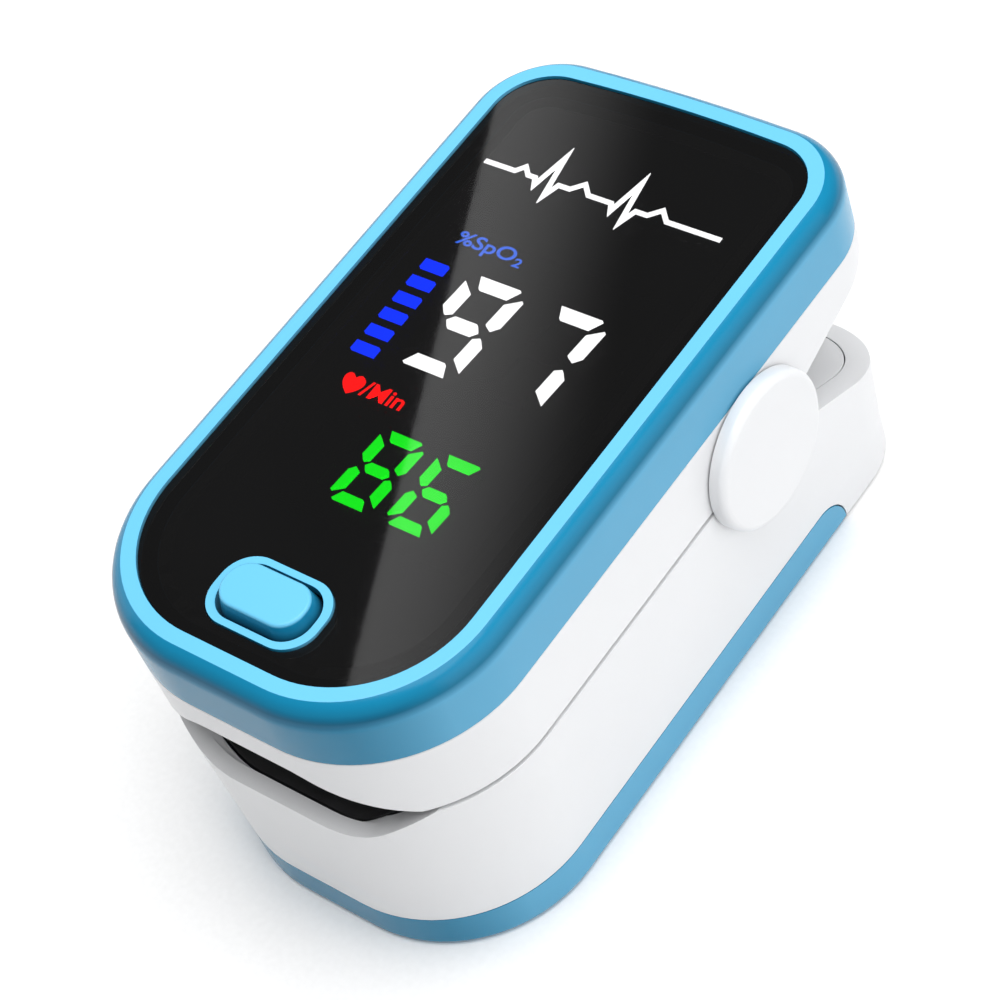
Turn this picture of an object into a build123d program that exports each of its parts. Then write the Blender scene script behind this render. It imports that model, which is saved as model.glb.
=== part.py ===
from build123d import *
from math import atan, cos, degrees, radians, sin
import os

# Fingertip pulse oximeter: a clothes-peg clip whose two halves squeeze a finger.
# Millimetres. +Z is up, the finger goes in from the front at -Y, X runs across.
# The origin is the middle of the base.

# ---- driving dimensions of the case ----
front_y = -31.0
rear_y = 31.0
lower_rear_y = 29.6
half_width = 17.0
front_radius = 12.7
rear_radius = 7.2
rear_bow = 0.65
rim_z = 32.0
band_z = 26.1
parting_z = 19.1
parting_gap = 0.15
cover_top_z = 3.8
side_taper = 1.2
front_taper = 0.1
upper_wall = 1.6
lower_wall = 1.9
far = 45.0

# ---- hinge ----
pivot_y = 9.8
pivot_z = 20.0
pin_radius = 1.0
pin_length = 31.8
ear_radius = 5.0
ear_inner_x = 15.1
ear_recess_radius = 5.3
cap_radius = 6.45
cap_inner_x = 17.15
cap_outer_x = 18.5
hub_radius = 2.5
lug_radius = 3.0
lug_inner_x = 12.7
lug_outer_x = 14.8
running_clearance = 0.05

# ---- squeeze gap behind the hinge ----
deck_slope = 0.48
deck_ref_y = 17.66
deck_ref_z = 15.45
ramp_slope = 0.306
ramp_ref_y = 17.18
ramp_ref_z = 20.5

# ---- display end of the top cover ----
lens_inset = 2.5
lens_seat_z = 31.0
lens_thickness = 0.8
edge_radius = 2.5
edge_crown = 0.31
floor_low_z = 29.8
floor_top_z = 30.8
module_half_width = 10.55
module_front_y = -15.3
module_rear_y = 12.0
module_low_z = 27.0
module_top_z = 30.65
segment_height = 0.3
wave_y = 18.74
board_low_z = 26.0
board_top_z = 27.0

# ---- push button ----
button_y = -23.7
collar_size = (10.0, 6.2)
collar_radius = 2.66
collar_top_z = 31.95
button_base = (8.3, 4.8)
button_crown = (7.5, 3.85)
button_top_z = 33.0
button_clearance = 0.12
button_travel = 0.6

# ---- finger channel ----
tray_top_z = 12.9
tray_low_z = 12.0
upper_tray_low_z = 23.9
upper_tray_top_z = 25.0
pad_low_top_z = 18.7
pad_high_low_z = 19.3
finger_stop_y = 3.2
stop_thickness = 1.2
window_y = -8.0

# ---- screws ----
screw_x = 12.4
screw_rows_y = (-19.0, -1.0)
boss_radius = 1.6
pilot_radius = 0.82
shank_radius = 0.8
head_radius = 1.45
head_height = 0.9

# ---- batteries ----
cell_radius = 5.25
cell_length = 43.7
nub_radius = 1.9
nub_length = 0.8
cell_x = 5.35
cell_z = 6.55
bay_front_y = -26.6
bay_rear_y = 21.4
contact_thickness = 0.3

# ---- lanyard eye ----
eye_y = 27.2
eye_radius = 1.0
eye_floor_z = 3.2

# ---- battery cover ----
cover_rear_y = 18.4
foot_radius = 0.8
cover_corner_radius = 3.1
cover_gap = 0.1
plate_thickness = 1.2
cover_wall = 1.4

os.makedirs("parts", exist_ok=True)


def plan_outline(height, half, front, rear, front_corner, rear_corner):
    """Outline of the case seen from above, with wide round front corners."""
    with BuildSketch(Plane.XY.offset(height)) as outline:
        with BuildLine():
            Line((half, rear - rear_bow), (half, front))
            Line((half, front), (-half, front))
            Line((-half, front), (-half, rear - rear_bow))
            ThreePointArc((-half, rear - rear_bow), (0, rear), (half, rear - rear_bow))
        make_face()
        fillet(outline.vertices().group_by(Axis.Y)[0], front_corner)
        fillet(outline.vertices().group_by(Axis.Y)[-1], rear_corner)
    return outline.sketch


def upper_outline(height, inset=0.0):
    """Section of the upper half, which has vertical walls."""
    return plan_outline(
        height,
        half_width - inset,
        front_y + inset,
        rear_y - inset,
        front_radius - inset,
        rear_radius - inset,
    )


def lower_outline(height, inset=0.0):
    """Section of the lower half, which narrows from the parting line to the cover."""
    share = (parting_z - height) / (parting_z - cover_top_z)
    share = min(max(share, 0.0), 1.0)
    return plan_outline(
        height,
        half_width - side_taper * share - inset,
        front_y + front_taper * share + inset,
        lower_rear_y - inset,
        front_radius - 0.5 * share - inset,
        rear_radius - 0.5 * share - inset,
    )


def lower_block(low_z, high_z, inset=0.0):
    """Solid with the lower half's tapering outline between two heights."""
    with BuildPart() as block:
        loft([lower_outline(low_z, inset).face(), lower_outline(high_z, inset).face()], ruled=True)
    return block.part


def deck_z(y):
    """Height of the lower half's sloping deck behind the hinge."""
    return deck_ref_z - deck_slope * (y - deck_ref_y)


def ramp_z(y):
    """Height of the upper half's rising underside behind the hinge."""
    return ramp_ref_z + ramp_slope * (y - ramp_ref_y)


def across(points, half=far):
    """Solid with a side profile in Y and Z, running the given half width across."""
    with BuildPart() as block:
        with BuildSketch(Plane.YZ):
            with BuildLine():
                Polyline(*points, close=True)
            make_face()
        extrude(amount=half, both=True)
    return block.part


def channel(points, radius, from_y, to_y):
    """Solid with a front profile in X and Z, running along Y, corners rounded."""
    with BuildPart() as block:
        with BuildSketch(Plane.XZ.offset(-to_y)) as profile:
            with BuildLine():
                Polyline(*points, close=True)
            make_face()
            inner = [v for v in profile.vertices() if abs(v.X) < 9.0]
            fillet(inner, radius)
        extrude(amount=to_y - from_y)
    return block.part


def box_between(one, other):
    """Box given by two opposite corners."""
    low = [min(pair) for pair in zip(one, other)]
    high = [max(pair) for pair in zip(one, other)]
    size = [b - a for a, b in zip(low, high)]
    middle = [(a + b) / 2 for a, b in zip(low, high)]
    return Pos(*middle) * Box(*size, mode=Mode.PRIVATE)


def rod_x(radius, from_x, to_x):
    """Round rod along X on the hinge line."""
    rod = Cylinder(radius, abs(to_x - from_x), mode=Mode.PRIVATE)
    return Pos((from_x + to_x) / 2, pivot_y, pivot_z) * Rot(0, 90, 0) * rod


def rod_y(radius, from_y, to_y, x, z):
    """Round rod along Y."""
    rod = Cylinder(radius, abs(to_y - from_y), mode=Mode.PRIVATE)
    return Pos(x, (from_y + to_y) / 2, z) * Rot(90, 0, 0) * rod


def rod_z(radius, from_z, to_z, x, y):
    """Round rod along Z."""
    rod = Cylinder(radius, abs(to_z - from_z), mode=Mode.PRIVATE)
    return Pos(x, y, (from_z + to_z) / 2) * rod


def cross_slot(x, y, z):
    """Cross-shaped recess in a screw's head, centred on the head's face."""
    arms = [Box(1.6, 0.35, 0.7, mode=Mode.PRIVATE), Box(0.35, 1.6, 0.7, mode=Mode.PRIVATE)]
    return [Pos(x, y, z) * arm for arm in arms]


def slot_solid(size, radius, low_z, high_z, y):
    """Upright solid with a rounded rectangle as its plan."""
    with BuildPart() as block:
        with BuildSketch(Plane.XY.offset(low_z)):
            with Locations((0, y)):
                RectangleRounded(size[0], size[1], radius)
        extrude(amount=high_z - low_z)
    return block.part


def window_hole(low_z, high_z):
    """Rectangular hole in a finger pad around its clear window."""
    return box_between((-3.1, window_y - 2.6, low_z), (3.1, window_y + 2.6, high_z))


screw_places = [(side * screw_x, y) for side in (-1, 1) for y in screw_rows_y]
lower_top_z = parting_z - parting_gap
upper_low_z = parting_z + parting_gap

# The tunnel that the finger goes through: the lip in the lower shell's front wall,
# the arch in the upper shell's, and the hollows of the two pads behind them.
lip_points = [(-13.8, 19.2), (-8.2, 15.9), (8.2, 15.9), (13.8, 19.2), (13.8, far), (-13.8, far)]
arch_points = [(-13.0, 19.1), (-4.9, 23.1), (4.9, 23.1), (13.0, 19.1), (13.0, 0), (-13.0, 0)]
trough_points = [(-12.2, 18.8), (-5.6, 14.3), (5.6, 14.3), (12.2, 18.8), (12.2, far), (-12.2, far)]
roof_points = [(-12.2, 19.2), (-4.6, 22.9), (4.6, 22.9), (12.2, 19.2), (12.2, 0), (-12.2, 0)]

# Behind the lip, the wall is cut down to the level of the pad's trough.
lip_thickness = 1.4
with BuildPart() as lip_rebate:
    extrude(lower_outline(parting_z, lip_thickness), amount=tray_top_z - parting_z)
    add(channel(trough_points, 5.0, front_y, front_y + 12.0), mode=Mode.INTERSECT)

# The battery cover slides off the front, so its outline from the side is one block
# with its upper rear corner rounded.


def cover_profile(gap):
    """Space that the battery cover takes, seen from the side, grown by a gap."""
    with BuildPart() as block:
        with BuildSketch(Plane.YZ) as profile:
            with BuildLine():
                Polyline(
                    (-far, -1.0),
                    (cover_rear_y + gap, -1.0),
                    (cover_rear_y + gap, cover_top_z + gap),
                    (-far, cover_top_z + gap),
                    close=True,
                )
            make_face()
            # in the sketch, X runs to the rear and Y upwards
            top_corners = profile.vertices().group_by(Axis.Y)[-1]
            fillet(top_corners.sort_by(Axis.X)[-1], cover_corner_radius)
        extrude(amount=far, both=True)
    return block.part


# ======================= lower half =======================

# Lower shell: tapering wall, sloping deck edge, hinge ears, battery bay.
wall_y = bay_rear_y + contact_thickness
deck_cut = across([(10.05, parting_z), (far, deck_z(far)), (far, far), (10.05, far)])
with BuildPart() as lower_shell:
    add(lower_block(cover_top_z, lower_top_z))
    extrude(lower_outline(cover_top_z), amount=-cover_top_z)
    add(deck_cut, mode=Mode.SUBTRACT)
    fillet(lower_shell.edges().group_by(Axis.Z)[0], foot_radius)
    # hollow inside, closed below only behind the battery cover
    add(lower_block(cover_top_z, lower_top_z, lower_wall), mode=Mode.SUBTRACT)
    floor_hollow = plate_thickness - cover_top_z
    extrude(lower_outline(cover_top_z, lower_wall), amount=floor_hollow, mode=Mode.SUBTRACT)
    add(cover_profile(cover_gap), mode=Mode.SUBTRACT)
    # mouth for the finger
    add(channel(lip_points, 7.0, front_y - 1.0, front_y + 12.0), mode=Mode.SUBTRACT)
    add(lip_rebate.part, mode=Mode.SUBTRACT)
    for side in (-1, 1):
        # hinge ear with a boss below it, drilled for the pin and the cap
        add(rod_x(ear_radius, side * ear_inner_x, side * half_width))
        add(rod_x(pin_radius + 0.02, side * 14.0, side * 18.0), mode=Mode.SUBTRACT)
        add(rod_x(hub_radius + 0.03, side * 16.1, side * 18.0), mode=Mode.SUBTRACT)
        # skirt that carries the battery cover's rail in a groove
        skirt = box_between((side * 12.4, -21.0, 1.5), (side * 14.1, 17.0, 5.0))
        groove = box_between((side * 13.2, -22.0, 2.3), (side * 14.5, 17.5, 3.5))
        add(skirt)
        add(groove, mode=Mode.SUBTRACT)
    # screw bosses, end walls of the battery bay
    for place in screw_places:
        add(rod_z(boss_radius, 4.5, tray_low_z, *place))
        add(rod_z(pilot_radius, 6.5, tray_low_z + 1, *place), mode=Mode.SUBTRACT)
    add(box_between((-13.5, wall_y, 1.0), (13.5, wall_y + 1.2, 10.6)))
    # rib behind the front contact, clear of the cover's front wall
    rib_y = bay_front_y - contact_thickness
    add(box_between((-8.0, rib_y - 1.3, 1.5), (8.0, rib_y, 10.6)))
    add(box_between((-8.0, rib_y - 2.3, cover_top_z + 0.3), (8.0, rib_y, 10.6)))
    # lanyard eye: a pocket in the rear wall, with a hole down through its floor
    add(box_between((-5.2, 24.0, 1.0), (5.2, 28.5, 8.4)))
    add(box_between((-4.0, 25.2, eye_floor_z), (4.0, far, 7.2)), mode=Mode.SUBTRACT)
    add(rod_z(eye_radius, -1.0, eye_floor_z + 1.0, 0, eye_y), mode=Mode.SUBTRACT)
lower_shell.part.label = "lower_shell"
export_step(lower_shell.part, "parts/lower_shell.step")

# Lower tray: floor under the finger pad, trough under the hinge, sloping deck.
deck_thickness = 1.4
with BuildPart() as lower_tray:
    add(lower_block(8.0, lower_top_z, lower_wall + 0.1))
    add(
        across([
            (-far, tray_top_z), (3.3, tray_top_z), (3.3, 16.0), (12.9, 16.0), (12.9, deck_z(12.9)),
            (far, deck_z(far)), (far, deck_z(far) - deck_thickness), (16.3, 14.7), (4.6, 14.7),
            (4.6, tray_low_z), (-far, tray_low_z),
        ]),
        mode=Mode.INTERSECT,
    )
    # opening for the sensor board, and a slot for the ribbon cable
    add(box_between((-4.7, -12.2, 11.0), (4.7, -4.0, 13.0)), mode=Mode.SUBTRACT)
    add(box_between((-3.0, -4.4, 11.0), (3.0, 6.3, tray_top_z)), mode=Mode.SUBTRACT)
    add(box_between((-3.0, 4.9, 14.0), (3.0, 6.3, 17.0)), mode=Mode.SUBTRACT)
    for place in screw_places:
        add(rod_z(shank_radius + 0.2, 11.0, 14.0, *place), mode=Mode.SUBTRACT)
lower_tray.part.label = "lower_tray"
export_step(lower_tray.part, "parts/lower_tray.step")

# Lower finger pad: soft saddle with a closed rear end that stops the fingertip.
with BuildPart() as lower_finger_pad:
    add(lower_block(tray_top_z, pad_low_top_z, lower_wall + 0.2))
    add(box_between((-far, finger_stop_y, 0), (far, far, far)), mode=Mode.SUBTRACT)
    add(channel(trough_points, 5.0, -far, finger_stop_y - stop_thickness), mode=Mode.SUBTRACT)
    add(window_hole(tray_top_z, 20.0), mode=Mode.SUBTRACT)
    for place in screw_places:
        add(rod_z(head_radius + 0.15, tray_top_z - 1, tray_top_z + 1.1, *place), mode=Mode.SUBTRACT)
lower_finger_pad.part.label = "lower_finger_pad"
export_step(lower_finger_pad.part, "parts/lower_finger_pad.step")

# Clear window in the lower pad, and the light sensor on its small board below.
with BuildPart() as sensor_window:
    add(box_between((-3.0, window_y - 2.5, 13.4), (3.0, window_y + 2.5, 14.4)))
    fillet(sensor_window.edges().filter_by(Axis.Z), 0.6)
sensor_window.part.label = "sensor_window"
export_step(sensor_window.part, "parts/sensor_window.step")

with BuildPart() as photodiode:
    add(box_between((-2.0, window_y - 1.6, 12.6), (2.0, window_y + 1.6, 13.2)))
    chamfer(photodiode.edges().group_by(Axis.Z)[-1], 0.15)
photodiode.part.label = "photodiode"
export_step(photodiode.part, "parts/photodiode.step")

with BuildPart() as sensor_board:
    add(box_between((-4.4, window_y - 3.9, tray_low_z), (4.4, window_y + 3.6, 12.6)))
    fillet(sensor_board.edges().filter_by(Axis.Z), 0.5)
sensor_board.part.label = "sensor_board"
export_step(sensor_board.part, "parts/sensor_board.step")

# Screws that hold the lower tray to the shell, hidden under the pad.
with BuildPart() as lower_screws:
    for place in screw_places:
        add(rod_z(shank_radius, 7.2, tray_top_z, *place))
        add(rod_z(head_radius, tray_top_z, tray_top_z + head_height, *place))
        add(cross_slot(*place, tray_top_z + head_height), mode=Mode.SUBTRACT)
lower_screws.part.label = "lower_screws"
export_step(lower_screws.part, "parts/lower_screws.step")

# Two AAA cells, side by side and facing opposite ways.
with BuildPart() as battery_left:
    can_rear_y = bay_rear_y - nub_length
    add(rod_y(cell_radius, can_rear_y - cell_length, can_rear_y, -cell_x, cell_z))
    fillet(battery_left.edges(), 0.4)
    add(rod_y(nub_radius, can_rear_y - 0.5, bay_rear_y, -cell_x, cell_z))
battery_left.part.label = "battery_left"
export_step(battery_left.part, "parts/battery_left.step")

with BuildPart() as battery_right:
    can_front_y = bay_front_y + nub_length
    add(rod_y(cell_radius, can_front_y, can_front_y + cell_length, cell_x, cell_z))
    fillet(battery_right.edges(), 0.4)
    add(rod_y(nub_radius, bay_front_y, can_front_y + 0.5, cell_x, cell_z))
battery_right.part.label = "battery_right"
export_step(battery_right.part, "parts/battery_right.step")

# Contact plates: one bridges the cells at the front, two stand at the rear.
with BuildPart() as bridge_contact:
    add(box_between((-9.2, bay_front_y - contact_thickness, 3.2), (9.2, bay_front_y, 10.0)))
    fillet(bridge_contact.edges().filter_by(Axis.Y), 0.8)
bridge_contact.part.label = "bridge_contact"
export_step(bridge_contact.part, "parts/bridge_contact.step")

with BuildPart() as rear_contacts:
    for side in (-1, 1):
        add(box_between((side * 1.4, bay_rear_y, 2.6), (side * 9.4, wall_y, 10.4)))
    fillet(rear_contacts.edges().filter_by(Axis.Y), 0.8)
rear_contacts.part.label = "rear_contacts"
export_step(rear_contacts.part, "parts/rear_contacts.step")


def wound_coil(radius, wire, pitch, height, first_leg=0.0, last_leg=0.0):
    """Coil standing on the origin along Z, its wire starting on +X, with straight legs."""
    with BuildPart() as coil:
        with BuildLine() as turns:
            Helix(pitch, height, radius)
        start = Plane(turns.line @ 0, z_dir=turns.line % 0)
        end = Plane(turns.line @ 1, z_dir=turns.line % 1)
        with BuildSketch(start):
            Circle(wire)
        sweep(path=turns.line, is_frenet=True)
        if first_leg > 0:
            with BuildSketch(start):
                Circle(wire)
            extrude(amount=-first_leg)
        if last_leg > 0:
            with BuildSketch(end):
                Circle(wire)
            extrude(amount=last_leg)
    return coil.part


contact_wire = 0.25
contact_turns = 3.0
spring_gap = bay_rear_y - bay_front_y - nub_length - cell_length
contact_height = spring_gap - 2 * contact_wire - 0.06
contact_coil = wound_coil(2.5, contact_wire, contact_height / contact_turns, contact_height)
contact_places = (
    (-cell_x, bay_front_y + contact_wire + 0.03, cell_z),
    (cell_x, bay_rear_y - spring_gap + contact_wire + 0.03, cell_z),
)
placed_coils = [Plane(place, z_dir=(0, 1, 0)).location * contact_coil for place in contact_places]
with BuildPart() as battery_springs:
    add(placed_coils)
battery_springs.part.label = "battery_springs"
export_step(battery_springs.part, "parts/battery_springs.step")

# Hinge pin through both ears and both lugs.
with BuildPart() as hinge_pin:
    add(rod_x(pin_radius, -pin_length / 2, pin_length / 2))
    chamfer(hinge_pin.edges(), 0.2)
hinge_pin.part.label = "hinge_pin"
export_step(hinge_pin.part, "parts/hinge_pin.step")

# Round caps that cover the hinge on each side, each with a hub in its ear.
for name, side in (("side_cap_left", -1), ("side_cap_right", 1)):
    with BuildPart() as side_cap:
        add(rod_x(cap_radius, side * cap_inner_x, side * cap_outer_x))
        fillet(side_cap.edges().sort_by(Axis.X)[-1 if side > 0 else 0], 0.6)
        add(rod_x(hub_radius, side * 16.2, side * (cap_inner_x + 0.2)))
    side_cap.part.label = name
    export_step(side_cap.part, f"parts/{name}.step")

# Torsion springs around the pin. One leg runs under the upper half's ramp and the
# other rests on the lower half's deck, so they push the rear ends apart.
wire_radius = 0.4
coil_radius = 2.2
coil_pitch = 0.9
deck_leg_angle = 45.0
deck_leg_length = 7.1
ramp_leg_length = 8.5
ramp_angle = degrees(atan(ramp_slope))
coil_sweep = 3 * 360 + 360 - (90 - ramp_angle) - deck_leg_angle
coil_height = coil_pitch * coil_sweep / 360
torsion_coil = wound_coil(
    coil_radius, wire_radius, coil_pitch, coil_height, deck_leg_length, ramp_leg_length
)
leg_rise = radians(deck_leg_angle)
for name, start_x in (("torsion_spring_left", -7.2 - coil_height), ("torsion_spring_right", 7.2)):
    first_turn = Plane(
        (start_x, pivot_y, pivot_z),
        x_dir=(0, cos(leg_rise), sin(leg_rise)),
        z_dir=(1, 0, 0),
    )
    placed_coil = first_turn.location * torsion_coil
    with BuildPart() as torsion_spring:
        add(placed_coil)
    torsion_spring.part.label = name
    export_step(torsion_spring.part, f"parts/{name}.step")

# Ribbon cable from the sensor board, up past the hinge, to the main board.
ribbon_low_z = 12.3
ribbon_y = 5.5
ribbon_thickness = 0.2
with BuildPart() as flex_cable:
    with BuildSketch(Plane.YZ):
        with BuildLine() as ribbon_route:
            FilletPolyline(
                (window_y + 3.8, ribbon_low_z),
                (ribbon_y, ribbon_low_z),
                (ribbon_y, 25.0),
                radius=0.9,
            )
            offset(amount=ribbon_thickness / 2, side=Side.BOTH, closed=True)
        make_face()
    extrude(amount=2.4, both=True)
flex_cable.part.label = "flex_cable"
export_step(flex_cable.part, "parts/flex_cable.step")

# Battery cover: floor and low walls that slide off the front on two rails.
with BuildPart() as battery_cover:
    extrude(lower_outline(cover_top_z), amount=-cover_top_z)
    fillet(battery_cover.edges().group_by(Axis.Z)[0], foot_radius)
    extrude(lower_outline(cover_top_z, cover_wall), amount=floor_hollow, mode=Mode.SUBTRACT)
    add(cover_profile(0.0), mode=Mode.INTERSECT)
    for side in (-1, 1):
        add(box_between((side * 13.4, -19.0, 2.5), (side * 15.0, 16.5, 3.3)))
    # finger grip grooves under the front end
    for step in range(5):
        groove_y = -24.0 + 1.6 * step
        add(box_between((-6.0, groove_y, -1.0), (6.0, groove_y + 0.8, 0.3)), mode=Mode.SUBTRACT)
battery_cover.part.label = "battery_cover"
export_step(battery_cover.part, "parts/battery_cover.step")

# ======================= upper half =======================

ear_recess = [
    rod_x(ear_recess_radius, side * (ear_inner_x - 0.15), side * (half_width + 1)) for side in (-1, 1)
]

# Top cover: coloured frame around the window, its floor, and the button's collar.
with BuildPart() as top_cover:
    # the round edge would crown a little above the rim, which cuts it off flat
    extrude(upper_outline(band_z), amount=rim_z + edge_crown - band_z)
    fillet(top_cover.edges().group_by(Axis.Z)[-1], edge_radius)
    split(bisect_by=Plane.XY.offset(rim_z), keep=Keep.BOTTOM)
    extrude(upper_outline(lens_seat_z, lens_inset), amount=rim_z, mode=Mode.SUBTRACT)
    extrude(upper_outline(floor_top_z, lens_inset + 1.3), amount=rim_z, mode=Mode.SUBTRACT)
    extrude(upper_outline(band_z, upper_wall), amount=floor_low_z - band_z, mode=Mode.SUBTRACT)
    module_hole = box_between(
        (-module_half_width - 0.2, module_front_y - 0.2, 0),
        (module_half_width + 0.2, module_rear_y + 0.2, rim_z),
    )
    add(module_hole, mode=Mode.SUBTRACT)
    # lip that drops inside the upper shell
    extrude(upper_outline(band_z - 1.0, upper_wall + 0.05), amount=1.0)
    extrude(upper_outline(band_z, upper_wall - 0.2), amount=0.8)
    extrude(upper_outline(band_z - 1.0, upper_wall + 0.9), amount=1.8, mode=Mode.SUBTRACT)
    add(slot_solid(collar_size, collar_radius, floor_low_z, collar_top_z, button_y))
    well = tuple(size + 2 * button_clearance for size in button_base)
    add(slot_solid(well, 2.2, 0, rim_z + 1, button_y), mode=Mode.SUBTRACT)
    for place in screw_places:
        add(rod_z(boss_radius, upper_tray_top_z, floor_low_z + 0.5, *place))
        add(rod_z(pilot_radius, 0, 29.0, *place), mode=Mode.SUBTRACT)
    add(ear_recess, mode=Mode.SUBTRACT)
top_cover.part.label = "top_cover"
export_step(top_cover.part, "parts/top_cover.step")

# Dark display window with a hole for the button's collar, on an adhesive ring.
lens_fit = 0.05
collar_hole = tuple(size + 2 * lens_fit for size in collar_size)
with BuildPart() as display_window:
    extrude(upper_outline(lens_seat_z, lens_inset + lens_fit), amount=lens_thickness)
    add(slot_solid(collar_hole, collar_radius, 0, rim_z + 1, button_y), mode=Mode.SUBTRACT)
display_window.part.label = "display_window"
export_step(display_window.part, "parts/display_window.step")

with BuildPart() as window_gasket:
    ring_height = lens_seat_z - floor_top_z
    extrude(upper_outline(floor_top_z, lens_inset + 1.35), amount=ring_height)
    extrude(upper_outline(floor_top_z, lens_inset + 2.3), amount=ring_height, mode=Mode.SUBTRACT)
    add(slot_solid(collar_hole, collar_radius, 0, rim_z, button_y), mode=Mode.SUBTRACT)
window_gasket.part.label = "window_gasket"
export_step(window_gasket.part, "parts/window_gasket.step")

# Display module that carries the lit segments.
with BuildPart() as display_module:
    add(
        box_between(
            (-module_half_width, module_front_y, module_low_z),
            (module_half_width, module_rear_y, module_top_z),
        )
    )
    chamfer(display_module.edges().group_by(Axis.Z)[-1], 0.2)
display_module.part.label = "display_module"
export_step(display_module.part, "parts/display_module.step")

# Seven-segment numerals on a slanted frame. The outer segments are cut off at an angle
# where they meet at the corners, and pointed where they meet at half height.
digit_width = 5.5
digit_height = 9.4
digit_slant = 0.065
bar = 1.1
corner_cut = 0.85
waist_gap = 0.5
half_height = digit_height / 2
level = [
    (corner_cut, digit_height),
    (digit_width - corner_cut, digit_height),
    (digit_width - corner_cut - 0.6, digit_height - bar),
    (corner_cut + 0.6, digit_height - bar),
]
upright = [
    (0, digit_height - corner_cut),
    (bar, digit_height - 2 * corner_cut),
    (bar, half_height + waist_gap + 0.3),
    (bar / 2, half_height + waist_gap),
    (0, half_height + waist_gap + 0.6),
]
waist = [
    (bar + 0.15, half_height),
    (bar + 0.6, half_height + bar / 2),
    (digit_width - bar - 0.6, half_height + bar / 2),
    (digit_width - bar - 0.15, half_height),
    (digit_width - bar - 0.6, half_height - bar / 2),
    (bar + 0.6, half_height - bar / 2),
]


def flipped(points, over_x=False, over_y=False):
    """Segment mirrored across the middle of the digit's frame."""
    return [
        (digit_width - x if over_x else x, digit_height - y if over_y else y) for x, y in points
    ]


segment_shapes = {
    "a": level,
    "b": flipped(upright, over_x=True),
    "c": flipped(upright, over_x=True, over_y=True),
    "d": flipped(level, over_y=True),
    "e": flipped(upright, over_y=True),
    "f": upright,
    "g": waist,
}
small = 0.737
big_y = -0.92
small_y = -13.71
digit_nodes = {
    "spo2_digits": [(-6.43, big_y, 1.0, "abcdfg"), (1.31, big_y, 1.0, "abc")],
    "pulse_digits": [(-3.14, small_y, small, "abcdefg"), (2.31, small_y, small, "acdefg")],
    "unlit_segments": [
        (-6.43, big_y, 1.0, "e"),
        (1.31, big_y, 1.0, "defg"),
        (2.31, small_y, small, "b"),
        (-8.59, small_y, small, "abcdefg"),
    ],
}
for name, digits in digit_nodes.items():
    with BuildPart() as segments:
        for left, low, scale, letters in digits:
            for letter in letters:
                corners = [
                    (left + scale * (x + digit_slant * y), low + scale * y)
                    for x, y in segment_shapes[letter]
                ]
                with BuildSketch(Plane.XY.offset(module_top_z)):
                    with BuildLine():
                        Polyline(*corners, close=True)
                    make_face()
                extrude(amount=segment_height)
    segments.part.label = name
    export_step(segments.part, f"parts/{name}.step")

# Bar graph of pulse strength.
graph_bar = (2.22, 0.92)
graph_x = -9.19
graph_top_y = 7.85
graph_pitch = 1.79
with BuildPart() as strength_bars:
    with BuildSketch(Plane.XY.offset(module_top_z)):
        for step in range(6):
            with Locations((graph_x, graph_top_y - graph_pitch * step)):
                Rectangle(*graph_bar)
    extrude(amount=segment_height)
strength_bars.part.label = "strength_bars"
export_step(strength_bars.part, "parts/strength_bars.step")

# Heart symbol beside the pulse rate.
with BuildPart() as heart_icon:
    with BuildSketch(Plane.XY.offset(module_top_z)):
        with BuildLine():
            Bezier((-8.0, -5.2), (-9.8, -4.0), (-8.45, -2.8), (-8.0, -3.9))
            Bezier((-8.0, -3.9), (-7.55, -2.8), (-6.2, -4.0), (-8.0, -5.2))
        make_face()
    extrude(amount=segment_height)
heart_icon.part.label = "heart_icon"
export_step(heart_icon.part, "parts/heart_icon.step")

# Pulse wave printed under the window's rear end.
beat = [(-1.9, 0), (-1.5, -0.7), (-0.8, 2.7), (-0.1, -1.4), (0.4, 0), (1.5, 0), (2.4, 0.9), (3.3, 0)]
wave_points = [(-12.2, wave_y), (-9.2, wave_y), (-8.6, wave_y + 0.7), (-7.9, wave_y)]
for start in (-5.3, 2.1):
    wave_points += [(start + x, wave_y + rise) for x, rise in beat]
wave_points.append((10.4, wave_y))
with BuildPart() as pulse_trace:
    with BuildSketch(Plane.XY.offset(floor_top_z + 0.06)):
        with BuildLine() as wave:
            Polyline(*wave_points)
        trace(line_width=0.42)
    extrude(amount=0.1)
pulse_trace.part.label = "pulse_trace"
export_step(pulse_trace.part, "parts/pulse_trace.step")

# Main board, with notches around the screw bosses.
with BuildPart() as main_board:
    extrude(upper_outline(board_low_z, upper_wall + 1.35), amount=board_top_z - board_low_z)
    for place in screw_places:
        add(rod_z(boss_radius + 0.25, 0, rim_z, *place), mode=Mode.SUBTRACT)
main_board.part.label = "main_board"
export_step(main_board.part, "parts/main_board.step")

# Chips, crystal and capacitors on the board's two ends.
chip_boxes = [
    ((-4.0, 15.0, board_top_z), (3.0, 22.0, board_top_z + 1.1)),
    ((5.5, 14.5, board_top_z), (9.0, 18.0, board_top_z + 0.9)),
    ((5.5, 20.0, board_top_z), (10.5, 22.0, board_top_z + 1.2)),
    ((-10.0, 16.0, board_top_z), (-7.0, 20.0, board_top_z + 1.0)),
    ((-8.5, 23.0, board_top_z), (-6.9, 23.8, board_top_z + 0.6)),
    ((-5.5, 24.5, board_top_z), (-3.9, 25.3, board_top_z + 0.6)),
    ((2.5, 24.5, board_top_z), (4.1, 25.3, board_top_z + 0.6)),
    ((7.5, -26.0, board_top_z), (9.1, -25.2, board_top_z + 0.6)),
]
with BuildPart() as board_chips:
    for low, high in chip_boxes:
        add(box_between(low, high))
board_chips.part.label = "board_chips"
export_step(board_chips.part, "parts/board_chips.step")

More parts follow.
